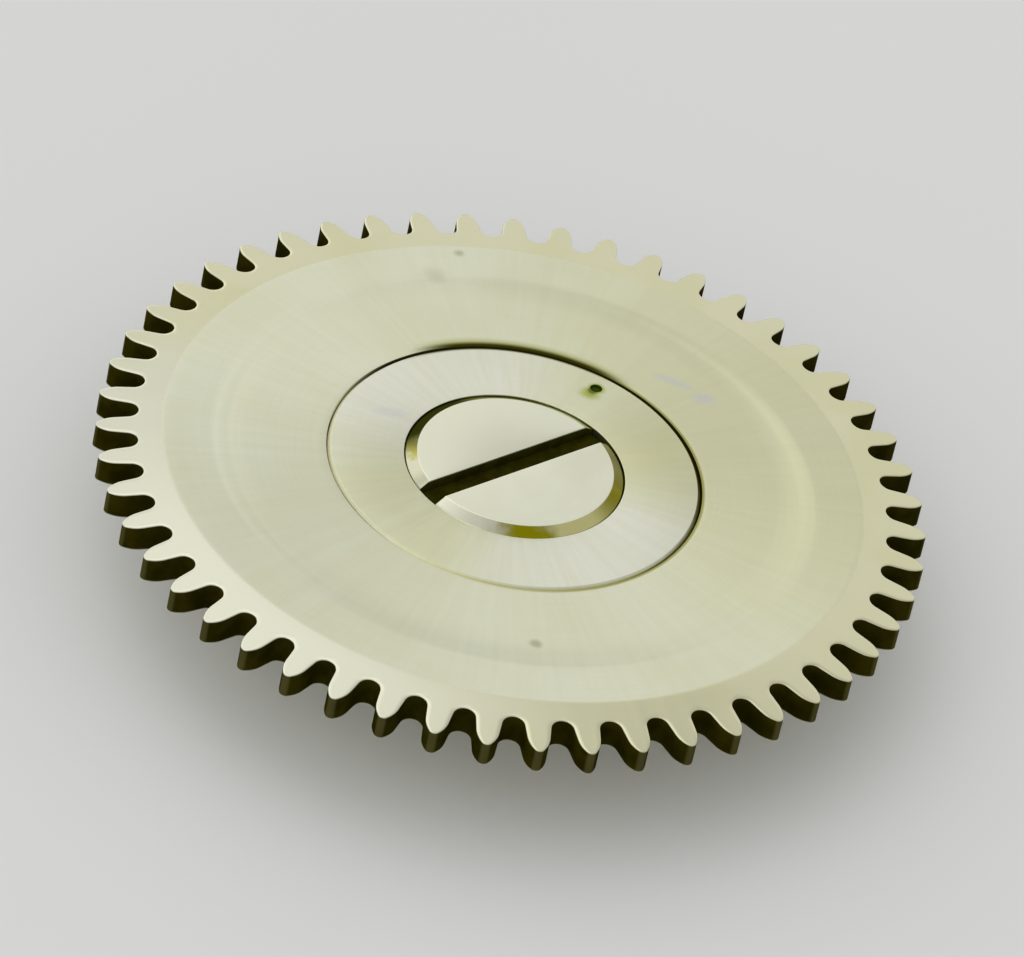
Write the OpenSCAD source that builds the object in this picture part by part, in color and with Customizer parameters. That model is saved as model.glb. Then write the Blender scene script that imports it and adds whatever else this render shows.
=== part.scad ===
// Crown wheel of a pocket watch, with the core, screw and steady pin that hold it on its bridge.
// Millimetres. The origin is on the wheel's axis, in the plane where the core sits on the bridge.
// +Z points up out of the movement. A space between two teeth is centred on +X.

/* [Wheel teeth] */
// Number of teeth
teeth = 51; // [44:1:60]
// Tooth size: pitch diameter over the number of teeth
tooth_module = 0.25; // [0.22:0.005:0.3]
// Height of a tooth above the pitch circle, in modules
addendum = 1.1; // [1:0.05:1.2]
// Depth of a space below the pitch circle, in modules
dedendum = 1.5; // [1.3:0.05:1.6]
// Part of the circular pitch that the tooth takes up
tooth_share = 0.455; // [0.42:0.005:0.48]
// Lean of the flanks below the pitch circle, in degrees: a tooth grows wider towards its root
flank_lean = 6.4; // [0:0.2:8]
// Radius of the tooth's curved side above the pitch circle, in modules
side_curve = 1.8; // [1.6:0.05:2.2]

/* [Wheel body] */
// Thickness of the flat middle of the wheel
wheel_t = 0.55; // [0.5:0.01:0.8]
// Width of the sloping band inside the bottom of the teeth
rim_band = 0.4; // [0.2:0.05:1]
// How far the slope has dropped at the tips of the teeth
rim_drop = 0.13; // [0.05:0.01:0.2]

/* [Core] */
// Radius of the neck that the wheel turns on
neck_r = 2.8; // [2.6:0.02:3.4]
// How far the flange reaches over the wheel
flange_lip = 0.19; // [0.12:0.01:0.5]
// Thickness of the flange
flange_t = 0.2; // [0.15:0.01:0.25]
// Radius of the hole for the screw's shoulder
core_hole_r = 0.92; // [0.88:0.01:1.1]
// Chamfer on the turned edges of the core and the wheel
edge_break = 0.02; // [0.01:0.005:0.03]
// Chamfer on the flange's upper edge, beside the fine dark line
flange_break = 0.05; // [0.02:0.005:0.08]

/* [Screw] */
// Radius of the head
head_r = 1.75; // [1.5:0.01:1.9]
// Thickness of the head
head_t = 0.43; // [0.36:0.01:0.45]
// Height of the head above the core's top face
head_proud = 0.085; // [0.03:0.005:0.12]
// Width of the polished chamfer round the head
head_chamfer_w = 0.18; // [0.1:0.01:0.25]
// Depth of the polished chamfer round the head
head_chamfer_h = 0.11; // [0.06:0.01:0.15]
// Width of the slot
slot_w = 0.4; // [0.2:0.01:0.45]
// Depth of the slot
slot_h = 0.2; // [0.15:0.01:0.25]
// Direction of the slot, in degrees from +X
slot_turn = 49.5; // [0:0.5:180]
// Radius of the thread
thread_r = 0.7; // [0.5:0.02:0.8]
// Length of the screw below its shoulder
thread_l = 1.6; // [1.2:0.05:2.4]
// Chamfer at the screw's end
screw_end = 0.15; // [0.08:0.01:0.25]

/* [Steady pin] */
// Radius of the pin where it leaves the core
pin_r = 0.12; // [0.1:0.01:0.16]
// Narrowing of the pin on its way up through the core
pin_taper = 0.02; // [0.01:0.005:0.04]
// Metal left between the pin and the side of the neck
pin_wall = 0.06; // [0.05:0.01:0.15]
// Length of the pin below the core
pin_reach = 0.5; // [0.35:0.05:0.8]
// Depth of the pin's upper end below the core's top face
pin_sink = 0.04; // [0.02:0.01:0.08]
// Chamfer at the pin's lower end
pin_end = 0.05; // [0.03:0.01:0.08]
// Direction of the pin, in degrees from +X
pin_turn = 72; // [0:0.5:360]

/* [Clearances] */
// Radial running gap between the neck and the wheel's bore
running_gap = 0.02; // [0.01:0.005:0.05]
// Total up and down play of the wheel, half of it under the wheel and half under the flange
end_shake = 0.03; // [0.02:0.005:0.05]
// Gap round the flange, which shows as a fine dark line
flange_gap = 0.02; // [0.015:0.005:0.08]
// Gap round the screw's head
head_gap = 0.02; // [0.02:0.005:0.08]
// Radial gap round the screw's shoulder
shoulder_gap = 0.02; // [0.01:0.005:0.04]
// How far the shoulder stops short of the bridge, so that the head does the clamping
shoulder_short = 0.03; // [0.01:0.01:0.06]

/* [Hidden] */

// Facets that stand in for one turn of a large, a middling and a small circle
large_fn = 180;
middle_fn = 96;
small_fn = 48;
// Straight steps that stand in for each arc of a tooth
root_steps = 8;
side_steps = 3;
tip_steps = 6;
// Overshoot of cutters
over = 0.05;

// Circles of the teeth
pitch_r = teeth * tooth_module / 2;
tip_r = pitch_r + addendum * tooth_module;
root_r = pitch_r - dedendum * tooth_module;

// Half angles of a tooth and of a space at the pitch circle
half_tooth = tooth_share * 180 / teeth;
half_space = (1 - tooth_share) * 180 / teeth;

// The straight sides of a space would meet at its apex, each at this angle to its middle line. The space ends
// in one full round that touches both sides and the root circle.
space_lean = 180 / teeth + flank_lean;
space_apex = pitch_r * cos(half_space) - pitch_r * sin(half_space) / tan(space_lean);
root_round_at = (root_r - space_apex * sin(space_lean)) / (1 - sin(space_lean));
root_round_r = root_round_at - root_r;

// The tooth above the pitch circle: a curved side that carries on from the flank, and a tip round that meets it
// smoothly. side_x and side_y are the middle of the curved side, across the tooth and along it.
pitch_x = pitch_r * sin(half_tooth);
pitch_y = pitch_r * cos(half_tooth);
side_r = side_curve * tooth_module;
side_x = side_r * cos(flank_lean) - pitch_x;
side_y = pitch_y - side_r * sin(flank_lean);
tip_h = tip_r - side_y;
tip_round_r = (side_r ^ 2 - side_x ^ 2 - tip_h ^ 2) / (2 * (side_r - tip_h));
tip_round_y = side_y + tip_h - tip_round_r;
side_turn = atan2(tip_h - tip_round_r, side_x);

// Heights, from the plane of the bridge up
wheel_z = end_shake / 2;
top_z = wheel_z + wheel_t;
flange_z = top_z - flange_t;
ledge_z = flange_z - end_shake / 2;
head_z = top_z + head_proud - head_t;
shoulder_z = shoulder_short;

// Radii that follow from what fits in or round them
bore_r = neck_r + running_gap;
flange_r = neck_r + flange_lip;
recess_r = flange_r + flange_gap;
head_seat_r = head_r + head_gap;
shoulder_r = core_hole_r - shoulder_gap;
slope_r = root_r - rim_band;
slope = rim_drop / (tip_r - slope_r);
pin_at = neck_r - pin_wall - pin_r;

// Radius of the pin, and of its hole in the core, at height z
function pin_r_at(z) = pin_r - pin_taper * z / top_z;

// Points along an arc, both ends included
function arc(centre, r, from, to, steps) =
    [for (k = [0 : steps]) let (a = from + (to - from) * k / steps) centre + r * [cos(a), sin(a)]];

// Points turned about the origin
function turned(points, angle) =
    [for (p = points) [p.x * cos(angle) - p.y * sin(angle), p.x * sin(angle) + p.y * cos(angle)]];

// Round bottom of a space that is centred on +X
space_points = arc([root_round_at, 0], root_round_r, 270 - space_lean, 90 + space_lean, root_steps);

// A tooth centred on +X above the pitch circle: curved side, tip round, curved side
tooth_points = concat(
    arc([side_y, side_x], side_r, 270 + flank_lean, 270 + side_turn, side_steps),
    arc([tip_round_y, 0], tip_round_r, side_turn - 90, 90 - side_turn, tip_steps),
    arc([side_y, -side_x], side_r, 90 - side_turn, 90 - flank_lean, side_steps)
);

// Outline of the wheel with its teeth. The flanks are the straight lines between the arcs.
module wheel_outline() {
    polygon([
        for (i = [0 : teeth - 1])
            each concat(
                turned(space_points, 360 * i / teeth),
                turned(tooth_points, 360 * (i + 0.5) / teeth)
            )
    ]);
}

// Half section of the wheel: bore, recess for the flange, flat top and sloping rim
module wheel_section() {
    out_r = tip_r + tooth_module;
    polygon([
        [bore_r + edge_break, wheel_z],
        [out_r, wheel_z],
        [out_r, top_z - slope * (out_r - slope_r)],
        [slope_r, top_z],
        [recess_r + edge_break, top_z],
        [recess_r, top_z - edge_break],
        [recess_r, ledge_z],
        [bore_r, ledge_z],
        [bore_r, wheel_z + edge_break],
    ]);
}

module crown_wheel() {
    color([0.87, 0.86, 0.7])
        intersection() {
            rotate_extrude($fn = large_fn)
                wheel_section();
            translate([0, 0, wheel_z - over])
                linear_extrude(height = wheel_t + 2 * over)
                    wheel_outline();
        }
}

// Half section of the core: neck, flange, seat for the screw's head and hole for its shoulder
module core_section() {
    polygon([
        [core_hole_r, 0],
        [neck_r - edge_break, 0],
        [neck_r, edge_break],
        [neck_r, flange_z],
        [flange_r, flange_z],
        [flange_r, top_z - flange_break],
        [flange_r - flange_break, top_z],
        [head_seat_r + edge_break, top_z],
        [head_seat_r, top_z - edge_break],
        [head_seat_r, head_z],
        [core_hole_r, head_z],
    ]);
}

// Tapered hole that the pin is driven into
module pin_hole() {
    translate([0, 0, -over])
        cylinder(h = top_z + 2 * over, r1 = pin_r_at(-over), r2 = pin_r_at(top_z + over), $fn = small_fn);
}

module wheel_core() {
    color([0.83, 0.83, 0.68])
        difference() {
            rotate_extrude($fn = large_fn)
                core_section();
            rotate([0, 0, pin_turn])
                translate([pin_at, 0, 0])
                    pin_hole();
        }
}

// Half section of the screw: chamfered head, shoulder, and thread drawn as its outer cylinder
module screw_section() {
    end_z = shoulder_z - thread_l;
    head_top = head_z + head_t;
    polygon([
        [0, end_z],
        [thread_r - screw_end, end_z],
        [thread_r, end_z + screw_end],
        [thread_r, shoulder_z],
        [shoulder_r, shoulder_z],
        [shoulder_r, head_z],
        [head_r, head_z],
        [head_r, head_top - head_chamfer_h],
        [head_r - head_chamfer_w, head_top],
        [0, head_top],
    ]);
}

module core_screw() {
    color([0.9, 0.9, 0.76])
        difference() {
            rotate_extrude($fn = middle_fn)
                screw_section();
            rotate([0, 0, slot_turn])
                translate([-head_r - over, -slot_w / 2, head_z + head_t - slot_h])
                    cube([2 * (head_r + over), slot_w, slot_h + over]);
        }
}

// Half section of the pin: straight peg below the core, taper inside it
module pin_section() {
    pin_top = top_z - pin_sink;
    polygon([
        [0, -pin_reach],
        [pin_r - pin_end, -pin_reach],
        [pin_r, pin_end - pin_reach],
        [pin_r, 0],
        [pin_r_at(pin_top), pin_top],
        [0, pin_top],
    ]);
}

module steady_pin() {
    color([0.6, 0.6, 0.55])
        rotate([0, 0, pin_turn])
            translate([pin_at, 0, 0])
                rotate_extrude($fn = small_fn)
                    pin_section();
}

crown_wheel();
wheel_core();
core_screw();
steady_pin();
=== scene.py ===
# The crown wheel of a pocket watch with its core, screw and steady pin, dressed for a close view.
import math

import bmesh
import bpy
from mathutils import Matrix, Vector


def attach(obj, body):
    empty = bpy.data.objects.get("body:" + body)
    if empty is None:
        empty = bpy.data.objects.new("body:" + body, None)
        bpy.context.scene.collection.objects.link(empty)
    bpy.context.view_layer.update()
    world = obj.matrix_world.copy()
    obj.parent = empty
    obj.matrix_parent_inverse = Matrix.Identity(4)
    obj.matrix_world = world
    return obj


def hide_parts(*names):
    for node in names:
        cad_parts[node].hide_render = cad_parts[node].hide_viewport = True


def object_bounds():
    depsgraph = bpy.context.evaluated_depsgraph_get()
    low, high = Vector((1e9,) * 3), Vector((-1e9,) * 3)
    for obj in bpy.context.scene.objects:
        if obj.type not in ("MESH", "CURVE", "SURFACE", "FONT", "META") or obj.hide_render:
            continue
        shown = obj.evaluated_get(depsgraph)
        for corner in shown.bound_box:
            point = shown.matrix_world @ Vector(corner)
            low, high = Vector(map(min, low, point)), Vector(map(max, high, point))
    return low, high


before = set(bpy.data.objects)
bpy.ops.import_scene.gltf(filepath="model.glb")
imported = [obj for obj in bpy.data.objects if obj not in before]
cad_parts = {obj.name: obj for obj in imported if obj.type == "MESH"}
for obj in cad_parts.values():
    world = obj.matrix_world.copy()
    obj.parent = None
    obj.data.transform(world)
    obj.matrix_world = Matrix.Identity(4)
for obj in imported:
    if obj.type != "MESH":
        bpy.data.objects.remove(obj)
cad_low, cad_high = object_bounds()

# Lengths below are in millimetres, and the meshes are scaled by this as they are made.
MM = 0.001

# Teeth
TEETH = 51
MODULE = 0.25
ADDENDUM = 1.1
DEDENDUM = 1.5
TOOTH_SHARE = 0.455
FLANK_LEAN = math.radians(6.4)
SIDE_CURVE = 1.8

# Wheel
WHEEL_T = 0.55
RIM_BAND = 0.4
RIM_DROP = 0.13
RIM_BEND = 0.05
DISH_R = 4.65
DISH_RAMP = 0.2
DISH_DEPTH = 0.009
EDGE_ROUND = 0.014
FINE_ROUND = 0.01

# Core
NECK_R = 2.8
FLANGE_LIP = 0.19
FLANGE_T = 0.2
CORE_HOLE_R = 0.92
FLANGE_BREAK = 0.05

# Screw. Half the width of the thread's groove is a share of the pitch, and the depth where the groove is flat
# is a share of its full depth.
HEAD_R = 1.75
HEAD_T = 0.43
HEAD_PROUD = 0.085
HEAD_CHAMFER_W = 0.18
HEAD_CHAMFER_H = 0.11
HEAD_ROUND = 0.015
CHAMFER_ROUND = 0.012
SHOULDER_ROUND = 0.02
SLOT_W = 0.4
SLOT_H = 0.2
SLOT_TURN = 49.5
SLOT_BREAK = 0.012
THREAD_R = 0.7
THREAD_L = 1.6
THREAD_PITCH = 0.3
THREAD_DEPTH = 0.17
THREAD_HALF = 0.42
THREAD_FLAT = 0.92
THREAD_RUNOUT = 0.05
SCREW_END = 0.15
SCREW_END_ROUND = 0.02

# Steady pin
PIN_R = 0.12
PIN_TAPER = 0.02
PIN_WALL = 0.06
PIN_REACH = 0.5
PIN_SINK = 0.04
PIN_END = 0.05
PIN_ROUND = 0.015
PIN_CROWN = 0.012
PIN_FLAT_R = 0.06
PIN_TURN = 72.0

# Clearances
RUNNING_GAP = 0.02
END_SHAKE = 0.03
FLANGE_GAP = 0.02
HEAD_GAP = 0.02
SHOULDER_GAP = 0.02
SHOULDER_SHORT = 0.03

# Heights and radii that follow from those above
WHEEL_Z = END_SHAKE / 2
TOP_Z = WHEEL_Z + WHEEL_T
FLANGE_Z = TOP_Z - FLANGE_T
LEDGE_Z = FLANGE_Z - END_SHAKE / 2
HEAD_Z = TOP_Z + HEAD_PROUD - HEAD_T
HEAD_TOP = HEAD_Z + HEAD_T
BORE_R = NECK_R + RUNNING_GAP
FLANGE_R = NECK_R + FLANGE_LIP
RECESS_R = FLANGE_R + FLANGE_GAP
HEAD_SEAT_R = HEAD_R + HEAD_GAP
SHOULDER_R = CORE_HOLE_R - SHOULDER_GAP
PIN_AT = NECK_R - PIN_WALL - PIN_R
THREAD_TOP = SHOULDER_SHORT - THREAD_RUNOUT
PITCH_R = TEETH * MODULE / 2
TIP_R = PITCH_R + ADDENDUM * MODULE
ROOT_R = PITCH_R - DEDENDUM * MODULE
SLOPE_R = ROOT_R - RIM_BAND
SLOPE = RIM_DROP / (TIP_R - SLOPE_R)

# Steps of the meshes, round the turned pieces and along the curves
CORE_STEPS = 240
SCREW_STEPS = 192
PIN_STEPS = 48
FLOOR_STEPS = 96
COVE_STEPS = 12
THREAD_ROWS = 72
TOOTH_CELLS = 6
EDGE_STEPS = 3
ROOT_STEPS = 9
FLANK_STEPS = 4
SIDE_STEPS = 5
TIP_STEPS = 6
RAMP_STEPS = 6

# Circles where the wheel's flat stretches have points too, and the plain bands beside the teeth and the bore
OUTER_CIRCLES = [5.3, 5.05]
INNER_CIRCLES = [4.3, 3.9, 3.5, 3.25]
UNDER_CIRCLES = [5.0, 4.0]
ROOT_LAND = 0.08
BORE_LAND = 0.12

# Angles in degrees from which an edge is shaded sharp, and the length below which two places are one
SHARP = 35
WHEEL_SHARP = 40
SCREW_SHARP = 30
TINY = 1e-6


# Mesh helpers

def smooth_step(x):
    """0 below 0, 1 above 1, and a smooth rise between."""
    x = min(1.0, max(0.0, x))
    return x * x * (3 - 2 * x)


def arc(cx, cy, r, start, stop, steps):
    """Points of an arc, both ends included, with angles in degrees."""
    angles = [math.radians(start + (stop - start) * k / steps) for k in range(steps + 1)]
    return [(cx + r * math.cos(a), cy + r * math.sin(a)) for a in angles]


def rounded(profile, radius, steps=3):
    """A profile whose corners are rounded by about that radius. A corner with its own is (r, z, radius)."""
    out = []
    for i, point in enumerate(profile):
        p = Vector(point[:2])
        own = point[2] if len(point) > 2 else radius
        if i in (0, len(profile) - 1) or own <= 0:
            out.append(tuple(p))
            continue
        before = Vector(profile[i - 1][:2]) - p
        after = Vector(profile[i + 1][:2]) - p
        room = 0.45 * min(before.length, after.length)
        cut = min(own, room)
        a, b = p + before.normalized() * cut, p + after.normalized() * cut
        for k in range(steps + 1):
            t = k / steps
            q = a * (1 - t) ** 2 + p * 2 * t * (1 - t) + b * t * t
            out.append(tuple(q))
    return out


def finish_mesh(bm, name, sharp=SHARP):
    """A smooth-shaded object from a bmesh in millimetres."""
    bmesh.ops.scale(bm, vec=(MM, MM, MM), verts=bm.verts)
    bmesh.ops.recalc_face_normals(bm, faces=bm.faces)
    mesh = bpy.data.meshes.new(name)
    bm.to_mesh(mesh)
    bm.free()
    mesh.shade_smooth()
    mesh.set_sharp_from_angle(angle=math.radians(sharp))
    piece = bpy.data.objects.new(name, mesh)
    bpy.context.scene.collection.objects.link(piece)
    return piece


def lathe(profile, steps, radius_at=None, closed=False):
    """A bmesh turned from (r, z) points, with one vertex for each on the axis.

    radius_at(r, z, angle) may move a wall in or out.
    """
    bm = bmesh.new()
    rings = []
    for r, z in profile:
        if r < TINY:
            rings.append([bm.verts.new((0, 0, z))])
            continue
        ring = []
        for k in range(steps):
            a = 2 * math.pi * k / steps
            own = radius_at(r, z, a) if radius_at else r
            ring.append(bm.verts.new((own * math.cos(a), own * math.sin(a), z)))
        rings.append(ring)
    if closed:
        rings.append(rings[0])
    for low, high in zip(rings, rings[1:]):
        for k in range(steps):
            n = (k + 1) % steps
            corners = [low[k % len(low)], low[n % len(low)], high[n % len(high)], high[k % len(high)]]
            corners = list(dict.fromkeys(corners))
            if len(corners) > 2:
                bm.faces.new(corners)
    return bm


def cut_away(piece, cutter):
    """Cuts one object from another and deletes the cutter."""
    step = piece.modifiers.new("cut", "BOOLEAN")
    step.operation = "DIFFERENCE"
    step.solver = "EXACT"
    step.object = cutter
    bpy.context.view_layer.objects.active = piece
    bpy.ops.object.modifier_apply(modifier=step.name)
    bpy.data.objects.remove(cutter)


# The toothed wheel

def half_tooth():
    """Half a tooth, from the bottom of the space before it to its tip: each point with its outward normal."""
    half_pitch = math.radians(180 / TEETH)
    half_space = (1 - TOOTH_SHARE) * half_pitch
    half = TOOTH_SHARE * half_pitch
    lean = half_pitch + FLANK_LEAN
    apex = PITCH_R * math.cos(half_space) - PITCH_R * math.sin(half_space) / math.tan(lean)
    round_at = (ROOT_R - apex * math.sin(lean)) / (1 - math.sin(lean))
    round_r = round_at - ROOT_R
    pitch_x, pitch_y = PITCH_R * math.sin(half), PITCH_R * math.cos(half)
    side_r = SIDE_CURVE * MODULE
    side_x = side_r * math.cos(FLANK_LEAN) - pitch_x
    side_y = pitch_y - side_r * math.sin(FLANK_LEAN)
    tip_h = TIP_R - side_y
    tip_r = (side_r**2 - side_x**2 - tip_h**2) / (2 * (side_r - tip_h))
    tip_y = side_y + tip_h - tip_r
    turn = math.degrees(math.atan2(tip_h - tip_r, side_x))
    points = []
    # round bottom of the space, whose centre line lies half a pitch before the tooth's
    centre = Vector((round_at * math.cos(-half_pitch), round_at * math.sin(-half_pitch)))
    start, stop = 180 - math.degrees(half_pitch), 90 + math.degrees(FLANK_LEAN)
    for place in arc(centre.x, centre.y, round_r, start, stop, ROOT_STEPS):
        p = Vector(place)
        points.append((p, (centre - p).normalized()))
    # leaning flank
    low = points[-1][0]
    high = Vector((pitch_y, -pitch_x))
    out = Vector((math.sin(FLANK_LEAN), -math.cos(FLANK_LEAN)))
    for k in range(1, FLANK_STEPS):
        points.append((low.lerp(high, k / FLANK_STEPS), out))
    # curved side and tip
    centre = Vector((side_y, side_x))
    start, stop = 270 + math.degrees(FLANK_LEAN), 270 + turn
    for place in arc(centre.x, centre.y, side_r, start, stop, SIDE_STEPS):
        p = Vector(place)
        points.append((p, (p - centre).normalized()))
    centre = Vector((tip_y, 0))
    for place in arc(centre.x, centre.y, tip_r, turn - 90, 0, TIP_STEPS)[1:]:
        p = Vector(place)
        points.append((p, (p - centre).normalized()))
    return points


def top_at(r):
    """Height of the wheel's top at radius r: the dished middle, the flat ring and the sloping rim."""
    dish = DISH_DEPTH * (1 - smooth_step((r - DISH_R) / DISH_RAMP + 0.5))
    over = r - SLOPE_R
    if over <= -RIM_BEND:
        drop = 0.0
    elif over < RIM_BEND:
        drop = SLOPE * (over + RIM_BEND) ** 2 / (4 * RIM_BEND)
    else:
        drop = SLOPE * over
    return TOP_Z - dish - drop


def under_at(r):
    """Height of the wheel's underside, which is flat."""
    return WHEEL_Z


def make_wheel():
    bm = bmesh.new()
    half = half_tooth()
    mirror = [(Vector((p.x, -p.y)), Vector((n.x, -n.y))) for p, n in reversed(half[:-1])]
    outline = half + mirror
    pitch = 2 * math.pi / TEETH

    def placed(p, z, turn):
        """A vertex at a point of the upright tooth, turned to the tooth's own place."""
        x = p.x * math.cos(turn) - p.y * math.sin(turn)
        y = p.x * math.sin(turn) + p.y * math.cos(turn)
        return bm.verts.new((x, y, z))

    def strip(row_a, row_b):
        for a, b, c, d in zip(row_a, row_a[1:], row_b[1:], row_b):
            bm.faces.new((a, b, c, d))

    def share(r, z, turn):
        """A row of vertices along one tooth's share of a circle."""
        angles = [pitch * (c / TOOTH_CELLS - 0.5) for c in range(TOOTH_CELLS + 1)]
        return [placed(Vector((r * math.cos(a), r * math.sin(a))), z, turn) for a in angles]

    def wall_row(turn, angle, upper):
        """The outline at an angle of the round on its upper or lower edge."""
        row = []
        sunk = EDGE_ROUND * (1 - math.cos(angle))
        for p, n in outline:
            base = p - n * EDGE_ROUND
            z = top_at(base.length) - sunk if upper else WHEEL_Z + sunk
            row.append(placed(base + n * EDGE_ROUND * math.sin(angle), z, turn))
        return row

    def side(turn):
        """The wall of one tooth, with its upper and lower edges rounded."""
        angles = [math.pi / 2 * k / EDGE_STEPS for k in range(EDGE_STEPS + 1)]
        rows = [wall_row(turn, a, True) for a in angles]
        rows += [wall_row(turn, a, False) for a in reversed(angles)]
        for row_a, row_b in zip(rows, rows[1:]):
            strip(row_a, row_b)

    def face(turn, height):
        """The top or underside of one tooth, in rungs from the bottom of the spaces to the tip."""
        rows = []
        for p, n in half:
            q = p - n * EDGE_ROUND
            if abs(q.y) < TINY:
                rows.append([placed(q, height(q.length), turn)])
                continue
            row = []
            for c in range(TOOTH_CELLS + 1):
                s = Vector((q.x, q.y * (1 - 2 * c / TOOTH_CELLS)))
                row.append(placed(s, height(s.length), turn))
            rows.append(row)
        for row_a, row_b in zip(rows, rows[1:]):
            if len(row_b) > 1:
                strip(row_a, row_b)
            else:
                for a, b in zip(row_a, row_a[1:]):
                    bm.faces.new((a, b, row_b[0]))
        return rows[0]

    def rings(turn, first, radii, height):
        """The part of a face inside the teeth, from one circle to the next."""
        before = first
        for r in radii:
            row = share(r, height(r), turn)
            strip(before, row)
            before = row
        return before

    top_radii = [ROOT_R - ROOT_LAND, SLOPE_R + RIM_BAND / 2]
    top_radii += [SLOPE_R + RIM_BEND * k for k in (1, 0.5, 0, -0.5, -1)]
    top_radii += OUTER_CIRCLES
    top_radii += [DISH_R + DISH_RAMP * (0.5 - k / RAMP_STEPS) for k in range(RAMP_STEPS + 1)]
    top_radii += INNER_CIRCLES
    under_radii = [ROOT_R - ROOT_LAND] + UNDER_CIRCLES + [BORE_R + BORE_LAND]
    inner = rounded([
        (RECESS_R + BORE_LAND, TOP_Z - DISH_DEPTH),
        (RECESS_R, TOP_Z - DISH_DEPTH, EDGE_ROUND),
        (RECESS_R, LEDGE_Z),
        (BORE_R, LEDGE_Z, FINE_ROUND),
        (BORE_R, WHEEL_Z, EDGE_ROUND),
        (BORE_R + BORE_LAND, WHEEL_Z),
    ], 0)
    for i in range(TEETH):
        turn = pitch * (i + 0.5)
        side(turn)
        upper = rings(turn, face(turn, top_at), top_radii, top_at)
        lower = rings(turn, face(turn, under_at), under_radii, under_at)
        for r, z in inner[:-1]:
            row = share(r, z, turn)
            strip(upper, row)
            upper = row
        strip(upper, lower)
    bmesh.ops.remove_doubles(bm, verts=bm.verts, dist=10 * TINY)
    return finish_mesh(bm, "toothed_wheel", WHEEL_SHARP)


# The core

def make_core():
    profile = rounded([
        (CORE_HOLE_R, HEAD_Z, FINE_ROUND),
        (CORE_HOLE_R, 0, EDGE_ROUND),
        (NECK_R, 0, EDGE_ROUND),
        (NECK_R, FLANGE_Z, 0),
        (FLANGE_R, FLANGE_Z, FINE_ROUND),
        (FLANGE_R, TOP_Z - FLANGE_BREAK, FINE_ROUND),
        (FLANGE_R - FLANGE_BREAK, TOP_Z, FINE_ROUND),
        (HEAD_SEAT_R, TOP_Z, EDGE_ROUND),
        (HEAD_SEAT_R, HEAD_Z, 0),
        ((HEAD_SEAT_R + CORE_HOLE_R) / 2, HEAD_Z, 0),
    ], EDGE_ROUND)
    core = finish_mesh(lathe(profile, CORE_STEPS, closed=True), "flanged_core")
    over = 0.1
    cutter = lathe([
        (0, -over),
        (pin_r_at(-over), -over),
        (pin_r_at(TOP_Z + over), TOP_Z + over),
        (0, TOP_Z + over),
    ], PIN_STEPS)
    bmesh.ops.translate(cutter, vec=pin_place(), verts=cutter.verts)
    cut_away(core, finish_mesh(cutter, "pin_hole_cutter"))
    core.data.set_sharp_from_angle(angle=math.radians(SHARP))
    return core


# The screw

def thread_wall(r, z, angle):
    """Radius of the screw's wall: a helical groove where the thread is, fading out under the shoulder."""
    if abs(r - THREAD_R) > TINY:
        return r
    turns = (z / THREAD_PITCH - angle / (2 * math.pi)) % 1
    groove = max(0.0, 1 - abs(turns - 0.5) / THREAD_HALF)
    fade = smooth_step((THREAD_TOP - z) / THREAD_PITCH)
    return r - THREAD_DEPTH * min(groove, THREAD_FLAT) * fade


def make_screw():
    end = SHOULDER_SHORT - THREAD_L
    soft = SCREW_END_ROUND
    profile = [
        (0, end),
        (THREAD_R - SCREW_END - 1.5 * soft, end),
        (THREAD_R - SCREW_END, end + soft),
        (THREAD_R - soft, end + SCREW_END - soft),
    ]
    low, high = end + SCREW_END, THREAD_TOP
    profile += [(THREAD_R, low + (high - low) * k / THREAD_ROWS) for k in range(THREAD_ROWS + 1)]

    def on_chamfer(part):
        """A point of the chamfer, whose lower edge is 0 and upper edge 1. It keeps the shading flat."""
        return HEAD_R - part * HEAD_CHAMFER_W, HEAD_TOP - (1 - part) * HEAD_CHAMFER_H, 0

    # just inside the thread's radius, so that thread_wall leaves it round
    above_thread = THREAD_R - 0.0001
    profile += rounded([
        (above_thread, SHOULDER_SHORT - 0.02),
        (above_thread, SHOULDER_SHORT, FINE_ROUND),
        (SHOULDER_R, SHOULDER_SHORT, SHOULDER_ROUND),
        (SHOULDER_R, HEAD_Z, FINE_ROUND),
        (HEAD_R, HEAD_Z, HEAD_ROUND),
        (HEAD_R, HEAD_TOP - HEAD_CHAMFER_H, CHAMFER_ROUND),
        on_chamfer(0.15),
        on_chamfer(0.9),
        (HEAD_R - HEAD_CHAMFER_W, HEAD_TOP, CHAMFER_ROUND / 2),
        (HEAD_R - HEAD_CHAMFER_W - 0.05, HEAD_TOP),
    ], 0)
    profile += [(0, HEAD_TOP)]
    screw = finish_mesh(lathe(profile, SCREW_STEPS, thread_wall), "slotted_screw", SCREW_SHARP)
    cutter = bmesh.new()
    bmesh.ops.create_cube(cutter, size=1)
    bmesh.ops.scale(cutter, vec=(2 * HEAD_R + 1, SLOT_W, 2 * SLOT_H), verts=cutter.verts)
    bmesh.ops.translate(cutter, vec=(0, 0, HEAD_TOP), verts=cutter.verts)
    bmesh.ops.rotate(cutter, matrix=Matrix.Rotation(math.radians(SLOT_TURN), 3, "Z"), verts=cutter.verts)
    cut_away(screw, finish_mesh(cutter, "slot_cutter"))
    break_slot_edges(screw)
    return screw


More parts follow.
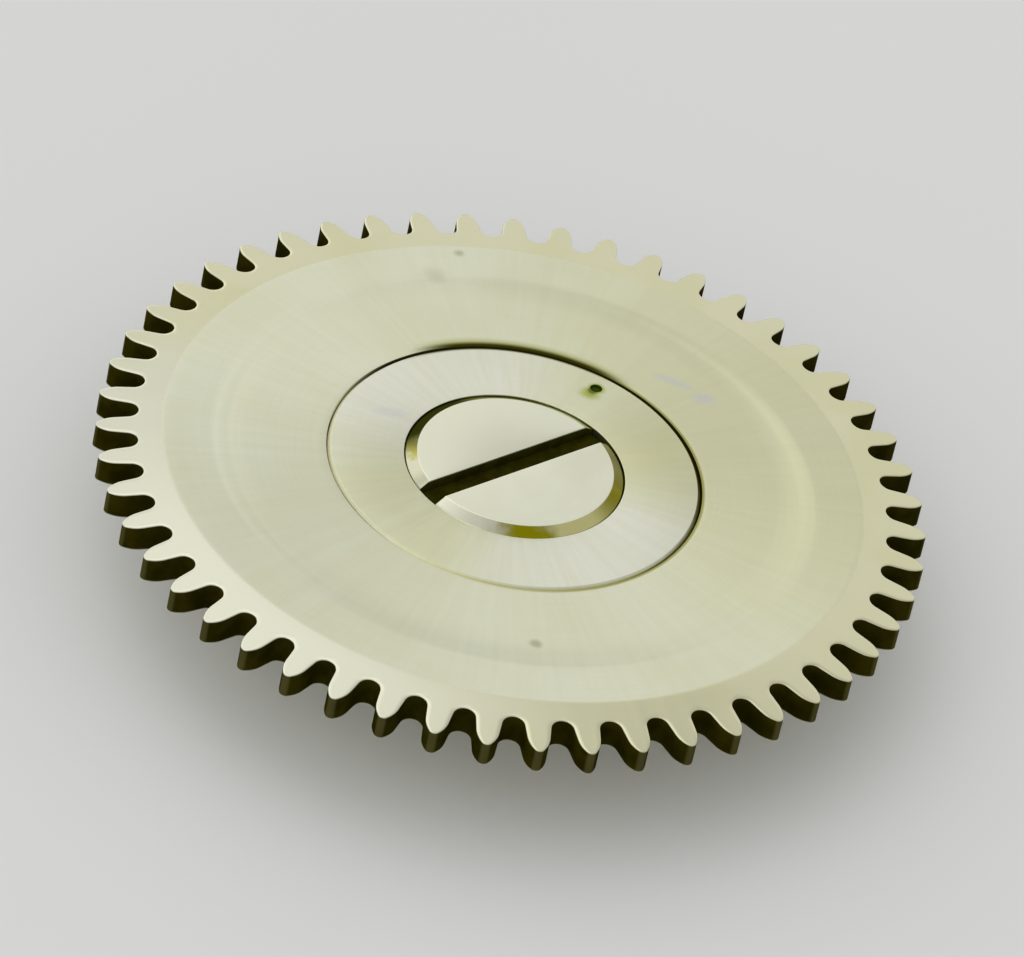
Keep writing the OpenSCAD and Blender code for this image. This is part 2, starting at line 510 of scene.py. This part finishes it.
def break_slot_edges(screw):
    """A small bevel along the upper edges of the slot."""
    bm = bmesh.new()
    bm.from_mesh(screw.data)
    turn = math.radians(SLOT_TURN)
    across = Vector((-math.sin(turn), math.cos(turn), 0))
    near = 0.001
    deep = 0.02
    edges = []
    for e in bm.edges:
        ends = [v.co / MM for v in e.verts]
        on_side = all(abs(abs(c.dot(across)) - SLOT_W / 2) < near for c in ends)
        if on_side and all(c.z > HEAD_TOP - deep for c in ends):
            edges.append(e)
    bmesh.ops.bevel(bm, geom=edges, offset=SLOT_BREAK * MM, segments=2, affect="EDGES", profile=0.5)
    bm.to_mesh(screw.data)
    bm.free()
    screw.data.set_sharp_from_angle(angle=math.radians(SCREW_SHARP))


# The steady pin

def pin_r_at(z):
    """Radius of the pin and its hole at a height."""
    return PIN_R - PIN_TAPER * z / TOP_Z


def pin_place():
    """Where the pin's axis crosses the core's seat."""
    turn = math.radians(PIN_TURN)
    return Vector((PIN_AT * math.cos(turn), PIN_AT * math.sin(turn), 0))


def make_pin():
    top = TOP_Z - PIN_SINK
    profile = [(0, -PIN_REACH)]
    profile += rounded([
        (PIN_R - PIN_END - 0.02, -PIN_REACH),
        (PIN_R - PIN_END, -PIN_REACH, PIN_ROUND),
        (PIN_R, PIN_END - PIN_REACH, PIN_ROUND),
        (PIN_R, 0, 0),
        (pin_r_at(top - PIN_CROWN), top - PIN_CROWN, FINE_ROUND),
        (PIN_FLAT_R, top, 0),
    ], 0)
    profile += [(0, top)]
    bm = lathe(profile, PIN_STEPS)
    bmesh.ops.translate(bm, vec=pin_place(), verts=bm.verts)
    return finish_mesh(bm, "tapered_pin")


# Materials

def rgb(red, green, blue):
    """A colour written as a screen shows it, from 0 to 255."""
    out = []
    for c in (red, green, blue):
        c /= 255
        out.append(c / 12.92 if c <= 0.04045 else ((c + 0.055) / 1.055) ** 2.4)
    return (*out, 1.0)


# Colours of the metal, among them painted highlights, a painted sheen and painted shade. Where there are two,
# a soft noise mixes them.
WHEEL_STEEL = rgb(210, 210, 185), rgb(214, 215, 194)
DISH_STEEL = rgb(204, 206, 176)
# painted highlight on the wheel's lit side, and a yellower painted shade for its other side
LIT_WHEEL = rgb(223, 224, 204)
SHADED_WHEEL = rgb(212, 211, 172)
WHEEL_RAY = rgb(196, 196, 158)
WHEEL_CIRCLE = rgb(190, 190, 156)
RIM_STEEL = rgb(210, 208, 171), rgb(213, 211, 178)
# painted highlight on the rim's lit side
LIT_RIM = rgb(214, 213, 198)
CORE_STEEL = rgb(211, 211, 178), rgb(214, 214, 187)
# painted sheen and painted shade on the core
SHEEN_CORE = rgb(218, 219, 209)
SHADED_CORE = rgb(200, 198, 152)
CORE_RAY = rgb(194, 193, 154)
CORE_CIRCLE = rgb(188, 188, 154)
# painted shade on the flange's bevel
SHADED_BEVEL = rgb(188, 184, 88)
HEAD_STEEL = rgb(215, 215, 194), rgb(220, 221, 202)
HEAD_CIRCLE = rgb(198, 198, 170)
# painted highlight on the head's left
LIT_HEAD = rgb(226, 226, 206)
CHAMFER_STEEL = rgb(200, 199, 174)
PIN_STEEL = rgb(168, 166, 146), rgb(190, 188, 168)

# Colours of oil and stains, and of painted shade and painted highlights
# painted shade in the tooth spaces and in the slot
TOOTH_SHADE = rgb(36, 34, 2), rgb(49, 45, 6)
SLOT_SHADE = rgb(42, 41, 4), rgb(54, 52, 8)
# the painted shade between the teeth is lighter towards the tips
LIGHTER_TIP_SHADE = rgb(120, 114, 74)
DARK_STAIN = rgb(140, 140, 108)
WHEEL_BLOOM = rgb(196, 196, 204)
CORE_BLOOM = rgb(200, 200, 206)
# painted shade round the joint, in the recess, on the flange's bevel and in the chamfer's crescent
JOINT_SHADE = rgb(140, 136, 40)
JOINT_SHADE_HALO = rgb(160, 160, 60)
BACK_JOINT_SHADE = rgb(56, 55, 6)
RECESS_SHADE = rgb(50, 48, 6)
BEVEL_SHADE = rgb(66, 63, 6)
CRESCENT_SHADE = rgb(50, 51, 8)
PIN_OIL = rgb(54, 70, 14)
OIL_SMEAR = rgb(160, 172, 40)
OIL_DROP = rgb(84, 98, 26)
# a painted highlight on the left of the joint
PALE_PAINTED_LIGHT = rgb(214, 212, 178)
FLOOR_GREY = rgb(223, 223, 223), rgb(227, 227, 227)
STUDIO_WHITE = rgb(255, 255, 253)

# Levels of a noise between which one thing gives way to another
CLOUD = (0.35, 0.65)
GRAIN = (0.3, 0.7)
RIM_CLOUD = (0.4, 0.6)

# Roughness of the ground steel, what the grain and the dull coat of painted shade add to it, and how far it
# stretches a highlight
GROUND_ROUGH = 0.33
GRAIN_ROUGH = 0.10
COAT_ROUGH = 0.3
STRETCH = 0.6

# Spots on the top: x, y, radius and half the soft edge's width. Those beside the pin count from its axis.
DARK_SPOTS = (-2.05, 5.02, 0.07, 0.06), (1.24, -4.11, 0.085, 0.06)
FAINT_SPOT = (-2.3, 4.27, 0.16, 0.12)
PIN_SMEARS = (0, 0, 0.14, 0.05), (-0.08, -0.17, 0.14, 0.1)
PIN_DROP = (-0.045, -0.09, 0.08, 0.04)

# Streaks on the top: x, y, half length, half width and turn
WHEEL_STREAKS = (2.52, 2.99, 0.3, 0.25, 25.0), (1.95, 3.21, 0.5, 0.13, -9.0)
CORE_STREAK = (-2.18, 0.48, 0.4, 0.15, 12.0)
STREAK_DEPTH = 0.1

# Sides that marks lie on: degrees from the right, and the cosines between which the mark sets in
LIT_WHEEL_SIDE = (215, 0.1, 1.0)
SHADED_WHEEL_SIDE = (30, 0.2, 1.0)
LIT_RIM_SIDE = (225, 0.3, 0.9)
JOINT_SHADE_SIDE = (15, -0.5, 0.5)
BACK_SHADE_SIDE = (100, 0.79, 0.94)
RECESS_SHADE_SIDE = (60, -0.5, 0.1)
SHADED_CORE_SIDE = (27, 0.75, 1.0)
SHADED_BEVEL_SIDE = (330, 0.0, 0.6)
PALE_LIGHT_SIDE = (187, 0.8, 0.95)
BEVEL_SHADE_SIDE = (60, -0.1, 0.75)
BEVEL_BACK_SHADE_SIDE = (105, 0.79, 0.94)
SHEEN_AXIS = (142, 0.3, 0.95)

# Painted shade round the joint, in the wheel's top: how far out from the recess each starts to fade and ends
JOINT_SHADE_BAND = (0.025, 0.065)
SHADE_HALO_BAND = (0.1, 0.26)
BACK_SHADE_BAND = (0.04, 0.15)
RECESS_BAND = (0.003, 0.011)

# The ring where the wheel's grain swings: where it starts to, has swung, starts back and is back
SWUNG_RING = (4.1, 4.72, 4.76, 4.9)
SWING = -0.115
SWING_CHANGE = -0.035
SWING_TOWARD = 350

# Painted reflections, bright and dark, on stretches of the chamfer: direction, half angles inside and
# outside, and colour
CHAMFER_REFLECTIONS = (
    (95, 40, 60, rgb(204, 206, 156)),
    (126, 24, 50, rgb(154, 156, 54)),
    (188, 4, 12, rgb(176, 172, 86)),
    (249, 12, 25, rgb(226, 225, 204)),
    (326, 14, 32, rgb(206, 201, 140)),
    (20, 24, 52, rgb(138, 133, 18)),
    (20, 6, 20, rgb(112, 108, 4)),
    (290, 5, 19, rgb(146, 140, 12)),
)
# where the crescent of painted shade lies: direction, and half angles inside and outside
CRESCENT = (157, 16, 42)


class Nodes:
    """One material, the place of a point in millimetres, and short names for its nodes."""

    def __init__(self, name):
        self.material = bpy.data.materials.new(name)
        self.material.use_nodes = True
        self.tree = self.material.node_tree
        self.shader = self.tree.nodes["Principled BSDF"]
        self.place()

    def link(self, value, socket):
        if isinstance(value, bpy.types.NodeSocket):
            self.tree.links.new(value, socket)
        else:
            socket.default_value = value

    def set(self, name, value):
        """Gives the shader's socket of that name a value."""
        self.link(value, self.shader.inputs[name])

    def math(self, operation, a, b=0.0, c=0.0, clamp=False):
        node = self.tree.nodes.new("ShaderNodeMath")
        node.operation = operation
        node.use_clamp = clamp
        for value, socket in zip((a, b, c), node.inputs):
            self.link(value, socket)
        return node.outputs[0]

    def plus(self, a, b):
        return self.math("ADD", a, b)

    def minus(self, a, b):
        return self.math("SUBTRACT", a, b)

    def times(self, first, *others):
        """The product of all the values."""
        for other in others:
            first = self.math("MULTIPLY", first, other)
        return first

    def most(self, first, *others):
        """The largest of the values."""
        for other in others:
            first = self.math("MAXIMUM", first, other)
        return first

    def change(self, value, low, high, to_low, to_high):
        """A smooth change from one level to another while a value goes from low to high."""
        node = self.tree.nodes.new("ShaderNodeMapRange")
        node.interpolation_type = "SMOOTHSTEP"
        self.link(value, node.inputs["Value"])
        node.inputs["From Min"].default_value = low
        node.inputs["From Max"].default_value = high
        node.inputs["To Min"].default_value = to_low
        node.inputs["To Max"].default_value = to_high
        return node.outputs["Result"]

    def rise(self, value, low, high):
        """0 up to low, and 1 from high."""
        return self.change(value, low, high, 0.0, 1.0)

    def fall(self, value, low, high):
        """1 up to low, and 0 from high."""
        return self.change(value, low, high, 1.0, 0.0)

    def mix(self, factor, a, b):
        node = self.tree.nodes.new("ShaderNodeMix")
        node.data_type = "RGBA"
        self.link(factor, node.inputs[0])
        self.link(a, node.inputs[6])
        self.link(b, node.inputs[7])
        return node.outputs[2]

    def coat(self, body, tone, *amounts):
        """The body's colour under another, which covers it as far as the product of the amounts."""
        return self.mix(self.times(*amounts), body, tone)

    def combine(self, x, y, z):
        node = self.tree.nodes.new("ShaderNodeCombineXYZ")
        for value, socket in zip((x, y, z), node.inputs):
            self.link(value, socket)
        return node.outputs[0]

    def noise(self, scale, detail=2.0, roughness=0.5, at=None):
        """A soft noise of the place, or of another vector."""
        node = self.tree.nodes.new("ShaderNodeTexNoise")
        self.link(self.vector if at is None else at, node.inputs["Vector"])
        node.inputs["Scale"].default_value = scale
        node.inputs["Detail"].default_value = detail
        node.inputs["Roughness"].default_value = roughness
        return node.outputs["Fac"]

    def wander(self, scale, amount):
        """A noise that goes as far below 0 as above it."""
        return self.times(self.minus(self.noise(scale, 3.0), 0.5), amount)

    def place(self):
        """Object coordinates in millimetres, the radius from the axis, and the cosine and sine round it."""
        coords = self.tree.nodes.new("ShaderNodeTexCoord")
        scale = self.tree.nodes.new("ShaderNodeVectorMath")
        scale.operation = "SCALE"
        self.link(coords.outputs["Object"], scale.inputs[0])
        scale.inputs["Scale"].default_value = 1 / MM
        self.vector = scale.outputs[0]
        apart = self.tree.nodes.new("ShaderNodeSeparateXYZ")
        self.link(self.vector, apart.inputs[0])
        self.x, self.y, self.z = apart.outputs
        self.r = self.math("SQRT", self.plus(self.times(self.x, self.x), self.times(self.y, self.y)))
        off_axis = self.most(self.r, 0.01)
        self.cos = self.math("DIVIDE", self.x, off_axis)
        self.sin = self.math("DIVIDE", self.y, off_axis)

    def rays(self, count):
        """A fine grain of lines that run out from the axis."""
        along = 0.4
        at = self.combine(self.times(self.cos, count), self.times(self.sin, count), self.times(self.r, along))
        return self.noise(1.0, 3.0, 0.6, at)

    def circles(self, count):
        """Fine circles round the axis, as a turning tool leaves them."""
        along = 1.5
        at = self.combine(self.times(self.r, count), self.times(self.cos, along), self.times(self.sin, along))
        return self.noise(1.0, 4.0, 0.6, at)

    def bump(self, height, strength, distance):
        node = self.tree.nodes.new("ShaderNodeBump")
        self.link(strength, node.inputs["Strength"])
        node.inputs["Distance"].default_value = distance * MM
        self.link(height, node.inputs["Height"])
        self.set("Normal", node.outputs[0])

    def brushed(self, amount):
        """Stretches the highlights along the circles round the axis, as lines that run out from it do."""
        tangent = self.tree.nodes.new("ShaderNodeTangent")
        tangent.direction_type = "RADIAL"
        tangent.axis = "Z"
        self.set("Tangent", tangent.outputs[0])
        self.set("Anisotropic", amount)

    def film(self, amount):
        """Bare metal where amount is 0, and where it is 1 a dull coat, dull even at a glancing angle, that
        carries old oil and the painted shade and painted highlights.
        """
        self.set("Metallic", self.math("SUBTRACT", 1.0, amount, clamp=True))
        self.set("Specular IOR Level", 0.02)
        self.set("IOR", 1.05)

    def facing(self, turn):
        """The cosine of the angle round the axis from that direction."""
        a = math.radians(turn)
        return self.plus(self.times(self.cos, math.cos(a)), self.times(self.sin, math.sin(a)))

    def toward(self, turn, low, high, wander=0.0):
        """1 on that side of the axis and 0 on the other, changing where the cosine goes from low to high."""
        return self.rise(self.plus(self.facing(turn), wander), low, high)

    def spot(self, x, y, size, soft):
        """1 inside a small round patch on the top, 0 outside, with an uneven edge."""
        node = self.tree.nodes.new("ShaderNodeVectorMath")
        node.operation = "DISTANCE"
        self.link(self.vector, node.inputs[0])
        node.inputs[1].default_value = (x, y, TOP_Z)
        away = self.plus(node.outputs["Value"], self.wander(4.0, size))
        return self.fall(away, size - soft, size + soft)

    def streak(self, x, y, length, width, turn):
        """1 along the middle of a soft uneven streak of that half length and half width, 0 outside."""
        place = self.tree.nodes.new("ShaderNodeMapping")
        place.vector_type = "TEXTURE"
        self.link(self.vector, place.inputs["Vector"])
        place.inputs["Location"].default_value = (x, y, TOP_Z)
        place.inputs["Rotation"].default_value = (0, 0, math.radians(turn))
        place.inputs["Scale"].default_value = (length, width, STREAK_DEPTH)
        away = self.tree.nodes.new("ShaderNodeVectorMath")
        away.operation = "LENGTH"
        self.link(place.outputs[0], away.inputs[0])
        return self.fall(self.plus(away.outputs["Value"], self.wander(3.0, 0.9)), 0.3, 1.0)


def wheel_metal():
    """Steel with a fine sunray finish, polished on the sloping rim, with painted shade between the teeth and
    round the joint, and a painted highlight on one side.
    """
    n = Nodes("wheel_metal")
    rays = n.rays(34.0)
    circles = n.circles(30.0)
    cloud = n.noise(0.5)
    body = n.mix(n.rise(cloud, *CLOUD), *WHEEL_STEEL)
    body = n.coat(body, DISH_STEEL, n.fall(n.r, DISH_R - 0.12, DISH_R + 0.08), 0.15)
    # a painted highlight makes one side a little brighter, and painted shade makes the other a little more
    # yellow
    body = n.coat(body, LIT_WHEEL, n.toward(*LIT_WHEEL_SIDE), 0.3)
    body = n.coat(body, SHADED_WHEEL, n.toward(*SHADED_WHEEL_SIDE), 0.7)
    body = n.coat(body, WHEEL_RAY, n.rise(rays, *GRAIN), 0.14)
    body = n.coat(body, WHEEL_CIRCLE, n.rise(circles, *GRAIN), 0.10)
    # the underside is flat and clean, so what follows is kept off it
    upper = n.rise(n.z, WHEEL_Z + 0.1, WHEEL_Z + 0.3)
    rim = n.times(upper, n.rise(n.r, SLOPE_R - 0.03, SLOPE_R + 0.05))
    sloping = n.mix(n.rise(cloud, *RIM_CLOUD), *RIM_STEEL)
    # a painted highlight on the rim's lit side
    sloping = n.coat(sloping, LIT_RIM, n.toward(*LIT_RIM_SIDE), 0.8)
    body = n.mix(rim, body, sloping)
    spots = n.most(*[n.spot(*spot) for spot in DARK_SPOTS], n.times(n.spot(*FAINT_SPOT), 0.4))
    body = n.coat(body, DARK_STAIN, spots, 0.55)
    body = n.coat(body, WHEEL_BLOOM, n.most(*[n.streak(*streak) for streak in WHEEL_STREAKS]), 0.5)

    def round_joint(band):
        """1 beside the joint, falling to 0 over a band of the wheel's top."""
        return n.fall(n.r, RECESS_R + band[0], RECESS_R + band[1])

    # painted shade beside the joint, and darker painted shade at its back, with a softer ring of it round
    # that
    joint_shade = n.times(round_joint(JOINT_SHADE_BAND), n.toward(*JOINT_SHADE_SIDE), upper)
    body = n.coat(body, JOINT_SHADE, joint_shade, 0.8)
    back = n.times(upper, n.toward(*BACK_SHADE_SIDE))
    body = n.coat(body, JOINT_SHADE_HALO, round_joint(SHADE_HALO_BAND), back, 0.6)
    back_shade = n.times(round_joint(BACK_SHADE_BAND), back)
    body = n.coat(body, BACK_JOINT_SHADE, back_shade)
    # painted shade on the wall of the recess, and a painted highlight on it on the left
    recess = n.times(round_joint(RECESS_BAND), n.rise(n.z, LEDGE_Z - 0.01, LEDGE_Z))
    body = n.coat(body, n.mix(n.toward(*RECESS_SHADE_SIDE), PALE_PAINTED_LIGHT, RECESS_SHADE), recess)
    # painted shade on the walls between the teeth, which lie below the top surface and above the underside,
    # lighter towards the tips
    slope = n.times(n.most(n.minus(n.r, SLOPE_R), 0.0), SLOPE)
    depth = n.minus(n.minus(TOP_Z, slope), n.z)
    wall = n.times(n.rise(depth, 0.003, 0.02), n.rise(n.r, ROOT_R - 0.1, ROOT_R - 0.04))
    wall = n.times(wall, n.rise(n.z, WHEEL_Z + 0.004, WHEEL_Z + 0.03))
    wall_shade = n.mix(n.rise(n.noise(2.6, 3.0), *CLOUD), *TOOTH_SHADE)
    wall_shade = n.coat(wall_shade, LIGHTER_TIP_SHADE, n.rise(n.r, TIP_R - 0.05, TIP_R - 0.005), 0.25)
    body = n.mix(wall, body, wall_shade)
    n.set("Base Color", body)
    n.film(n.most(wall, recess, back_shade, n.times(joint_shade, 0.4)))
    rough = n.plus(GROUND_ROUGH, n.times(rays, GRAIN_ROUGH))
    rough = n.minus(rough, n.times(rim, 0.22))
    rough = n.plus(rough, n.times(wall, COAT_ROUGH))
    n.set("Roughness", rough)
    n.brushed(STRETCH)
    # the grain swings by about an eighth of a turn in the ring at the edge of the dish
    ring = n.times(n.rise(n.r, *SWUNG_RING[:2]), n.fall(n.r, *SWUNG_RING[2:]))
    swing = n.math("MULTIPLY_ADD", n.facing(SWING_TOWARD), SWING_CHANGE, SWING)
    n.set("Anisotropic Rotation", n.times(ring, swing))
    n.bump(n.plus(rays, n.times(circles, 0.5)), n.minus(0.5, n.times(rim, 0.42)), 0.0006)
    return n.material


def core_metal():
    """The same finish as the wheel's, with the smear of oil beside the pin, a painted sheen, and painted
    shade and a painted highlight on the flange's bevel.
    """
    n = Nodes("core_metal")
    rays = n.rays(20.0)
    circles = n.circles(36.0)
    body = n.mix(n.rise(n.noise(0.7), *CLOUD), *CORE_STEEL)
    # a painted sheen makes two opposite sides paler, and painted shade darkens the right
    turn, low, high = SHEEN_AXIS
    body = n.coat(body, SHEEN_CORE, n.rise(n.math("ABSOLUTE", n.facing(turn)), low, high), 0.8)
    body = n.coat(body, SHADED_CORE, n.toward(*SHADED_CORE_SIDE), 0.5)
    body = n.coat(body, CORE_RAY, n.rise(rays, *GRAIN), 0.20)
    body = n.coat(body, CORE_CIRCLE, n.rise(circles, *GRAIN), 0.08)
    pin = pin_place()

    def by_pin(x, y, size, soft):
        """A spot whose place counts from the pin's axis."""
        return n.spot(pin.x + x, pin.y + y, size, soft)

    smear = n.most(*[by_pin(*spot) for spot in PIN_SMEARS])
    body = n.coat(body, OIL_SMEAR, smear, 0.85)
    body = n.coat(body, OIL_DROP, by_pin(*PIN_DROP), 0.85)
    body = n.coat(body, CORE_BLOOM, n.streak(*CORE_STREAK), 0.45)
    # the flange's bevel: yellow painted shade at the front right, a painted highlight on the left, and dark
    # painted shade towards the back
    bevel_r = FLANGE_R - FLANGE_BREAK
    bevel = n.rise(n.r, bevel_r - 0.008, bevel_r + 0.008)
    yellow_shade = n.times(n.rise(n.r, bevel_r + 0.01, bevel_r + 0.035), n.toward(*SHADED_BEVEL_SIDE))
    body = n.coat(body, SHADED_BEVEL, yellow_shade, 0.85)
    pale_light = n.times(bevel, n.toward(*PALE_LIGHT_SIDE))
    body = n.coat(body, PALE_PAINTED_LIGHT, pale_light)
    painted_shade = n.times(bevel, n.toward(*BEVEL_SHADE_SIDE, n.wander(1.5, 0.4)))
    back_shade = n.times(n.rise(n.r, bevel_r - 0.05, bevel_r), n.toward(*BEVEL_BACK_SHADE_SIDE))
    painted_shade = n.most(painted_shade, n.times(back_shade, 0.85))
    body = n.coat(body, BEVEL_SHADE, painted_shade)
    n.set("Base Color", body)
    n.film(n.most(painted_shade, n.times(pale_light, 0.8)))
    rough = n.plus(GROUND_ROUGH, n.times(rays, GRAIN_ROUGH))
    n.set("Roughness", n.plus(rough, n.times(smear, 0.15)))
    n.brushed(STRETCH)
    n.bump(n.plus(rays, n.times(circles, 0.5)), 0.5, 0.0005)
    return n.material


def screw_metal():
    """A flat ground head with a polished chamfer that carries painted reflections, painted shade in the slot
    and a bright turned shank.
    """
    n = Nodes("screw_metal")
    circles = n.circles(40.0)
    body = n.mix(n.rise(n.noise(1.2, 3.0), *GRAIN), *HEAD_STEEL)
    body = n.coat(body, HEAD_CIRCLE, n.rise(circles, *GRAIN), 0.10)
    # a painted highlight, brighter on the left
    body = n.coat(body, LIT_HEAD, n.fall(n.x, -1.5, 0.9), 0.9)
    flat_r = HEAD_R - HEAD_CHAMFER_W
    chamfer = n.times(n.rise(n.r, flat_r - 0.005, flat_r + 0.015), n.rise(n.z, HEAD_Z + 0.15, HEAD_Z + 0.2))
    uneven = n.wander(3.0, 0.08)

    def stretch(turn, inner, outer):
        """1 within the inner angle of a direction, falling to 0 at the outer one, with uneven ends."""
        return n.toward(turn, math.cos(math.radians(outer)), math.cos(math.radians(inner)), uneven)

    # painted reflections, bright and dark, on stretches of the chamfer, and a crescent of painted shade on
    # its left
    edge = CHAMFER_STEEL
    for turn, inner, outer, tone in CHAMFER_REFLECTIONS:
        edge = n.coat(edge, tone, stretch(turn, inner, outer))
    body = n.mix(chamfer, body, edge)
    crescent = n.times(chamfer, stretch(*CRESCENT))
    body = n.coat(body, CRESCENT_SHADE, crescent)
    # painted shade on the slot's walls and floor
    turn = math.radians(SLOT_TURN)
    across = n.plus(n.times(n.x, -math.sin(turn)), n.times(n.y, math.cos(turn)))
    in_slot = n.fall(n.math("ABSOLUTE", across), SLOT_W / 2 + 0.004, SLOT_W / 2 + 0.012)
    slot_z = HEAD_TOP - SLOT_H
    painted_shade = n.times(in_slot, n.rise(n.z, slot_z - 0.02, slot_z - 0.005))
    painted_shade = n.times(painted_shade, n.fall(n.z, HEAD_TOP - 0.022, HEAD_TOP - 0.008))
    body = n.mix(painted_shade, body, n.mix(n.rise(n.noise(5.0, 3.0), *CLOUD), *SLOT_SHADE))
    n.set("Base Color", body)
    n.film(n.most(painted_shade, crescent))
    rough = n.plus(0.26, n.times(circles, 0.08))
    rough = n.minus(rough, n.times(chamfer, 0.14))
    rough = n.plus(rough, n.times(painted_shade, COAT_ROUGH))
    n.set("Roughness", rough)
    n.bump(circles, n.minus(0.4, n.times(chamfer, 0.3)), 0.0004)
    return n.material


def pin_metal():
    """Plain turned steel, with oil on its upper end."""
    n = Nodes("pin_metal")
    end = TOP_Z - PIN_SINK
    oil = n.rise(n.z, end - 0.06, end - 0.03)
    grain = n.noise(1.0, 3.0, at=n.combine(n.times(n.x, 4.0), n.times(n.y, 4.0), n.times(n.z, 60.0)))
    steel = n.mix(n.rise(grain, *GRAIN), *PIN_STEEL)
    n.set("Base Color", n.coat(steel, PIN_OIL, oil))
    n.film(oil)
    n.set("Roughness", n.plus(0.28, n.times(grain, 0.12)))
    n.bump(grain, 0.5, 0.0006)
    return n.material


# Stage

def floor_material():
    """Plain pale paint without a gloss."""
    n = Nodes("pale_floor")
    n.set("Base Color", n.mix(n.noise(0.05), *FLOOR_GREY))
    n.set("Roughness", 0.9)
    n.set("Specular IOR Level", 0.0)
    return n.material


FLOOR_R = 900
COVE_R = 60


def make_floor():
    """A round floor that curves up at its edge."""
    floor_z = cad_low.z / MM
    cove = arc(FLOOR_R, floor_z + COVE_R, COVE_R, 270, 350, COVE_STEPS)
    floor = finish_mesh(lathe([(0, floor_z)] + cove, FLOOR_STEPS), "floor")
    floor.data.materials.append(floor_material())


# The light all round, and on it soft boxes: azimuth from +X, elevation, inner and outer half angle, level.
# The black card gives the polished edges their dark side.
ROOM_LEVEL = 0.635
SOFT_BOXES = (
    (138, 8.7, 28.4, 36.7, 0.56),
    (92.6, 16.2, 30.7, 35.9, 0.26),
    (135.5, 61.9, 4, 30, 0.79),
    (-139, 30.9, 16.9, 35, 0.59),
    (-90, 18, 15, 50, 0.25),
)
BLACK_CARD = (110, -8, 8, 16, -0.92)


def make_world():
    """A plain soft studio."""
    world = bpy.data.worlds.new("studio")
    bpy.context.scene.world = world
    world.use_nodes = True
    tree = world.node_tree
    tree.nodes.clear()
    new = tree.nodes.new
    coords = new("ShaderNodeTexCoord")

    def area(azimuth, elevation, inner, outer, level, base):
        """base, plus level within inner degrees of a direction, falling to nothing at outer."""
        a, e = math.radians(azimuth), math.radians(elevation)
        toward = new("ShaderNodeVectorMath")
        toward.operation = "DOT_PRODUCT"
        tree.links.new(coords.outputs["Generated"], toward.inputs[0])
        flat = math.cos(e)
        toward.inputs[1].default_value = (math.cos(a) * flat, math.sin(a) * flat, math.sin(e))
        step = new("ShaderNodeMapRange")
        step.interpolation_type = "SMOOTHSTEP"
        tree.links.new(toward.outputs["Value"], step.inputs["Value"])
        step.inputs["From Min"].default_value = math.cos(math.radians(outer))
        step.inputs["From Max"].default_value = math.cos(math.radians(inner))
        add = new("ShaderNodeMath")
        add.operation = "MULTIPLY_ADD"
        tree.links.new(step.outputs["Result"], add.inputs[0])
        add.inputs[1].default_value = level
        if isinstance(base, bpy.types.NodeSocket):
            tree.links.new(base, add.inputs[2])
        else:
            add.inputs[2].default_value = base
        return add.outputs[0]

    light = ROOM_LEVEL
    for box in SOFT_BOXES:
        light = area(*box, light)
    shade = new("ShaderNodeMath")
    shade.operation = "MULTIPLY"
    tree.links.new(light, shade.inputs[0])
    tree.links.new(area(*BLACK_CARD, 1.0), shade.inputs[1])
    background = new("ShaderNodeBackground")
    background.inputs["Color"].default_value = STUDIO_WHITE
    tree.links.new(shade.outputs[0], background.inputs["Strength"])
    out = new("ShaderNodeOutputWorld")
    tree.links.new(background.outputs[0], out.inputs[0])


# The photograph's camera, counted from the middle of the core's seat, with a lens that fills the frame
CAMERA_AT = (7.268, -91.771, 72.840)
CAMERA_AIM = (0.0, 0.0, 0.3)
CAMERA_ROLL = 12.57
CAMERA_LENS = 260.6


def make_camera():
    """The photograph's camera, rolled as it was held."""
    data = bpy.data.cameras.new("camera")
    camera = bpy.data.objects.new("camera", data)
    bpy.context.scene.collection.objects.link(camera)
    at, aim = Vector(CAMERA_AT) * MM, Vector(CAMERA_AIM) * MM
    forward = (aim - at).normalized()
    right = forward.cross(Vector((0, 0, 1))).normalized()
    up = right.cross(forward)
    roll = math.radians(CAMERA_ROLL)
    x = right * math.cos(roll) + up * math.sin(roll)
    y = up * math.cos(roll) - right * math.sin(roll)
    camera.matrix_world = Matrix((
        (x.x, y.x, -forward.x, at.x),
        (x.y, y.y, -forward.y, at.y),
        (x.z, y.z, -forward.z, at.z),
        (0, 0, 0, 1),
    ))
    data.lens = CAMERA_LENS
    data.sensor_width = 36
    data.clip_start = 0.01
    data.clip_end = 10
    bpy.context.scene.camera = camera


def dress(piece, material, body, node):
    """Gives a piece its material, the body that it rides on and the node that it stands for."""
    piece.data.materials.clear()
    piece.data.materials.append(material)
    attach(piece, body)
    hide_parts(node)


dress(make_wheel(), wheel_metal(), "wheel", "crown_wheel")
dress(make_core(), core_metal(), "fixed_core", "wheel_core")
dress(make_screw(), screw_metal(), "fixed_core", "core_screw")
dress(make_pin(), pin_metal(), "fixed_core", "steady_pin")
make_floor()
make_world()
make_camera()
bpy.context.scene.view_settings.view_transform = "Standard"
